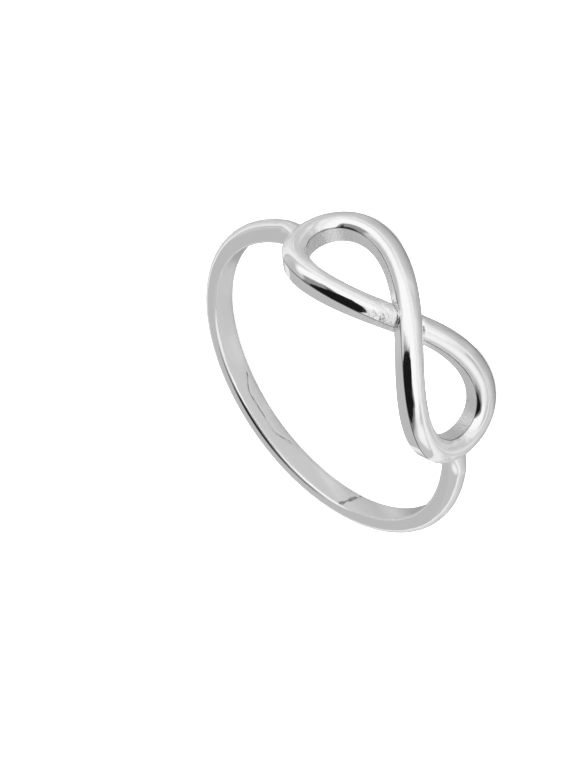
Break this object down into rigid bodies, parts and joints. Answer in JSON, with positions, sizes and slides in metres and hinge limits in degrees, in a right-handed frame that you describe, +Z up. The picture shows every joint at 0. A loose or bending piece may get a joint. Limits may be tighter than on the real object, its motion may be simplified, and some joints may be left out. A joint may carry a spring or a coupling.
{
  "type": "infinity ring",
  "caption": "Slender silver finger ring whose half-round band is joined to a crowned wire bent in a figure of eight along the finger's curve.",
  "frame": {"origin": "centre of the bounding box's base, on the table", "axes": "+Z up, nearly along the finger; -Y towards the infinity motif; +X to the right when facing the motif"},
  "size_m": [0.0194, 0.0198, 0.0064],
  "materials": {
    "silver": "polished silver"
  },
  "bodies": {
    "root": {"ring": "silver"}
  },
  "joints": []
}
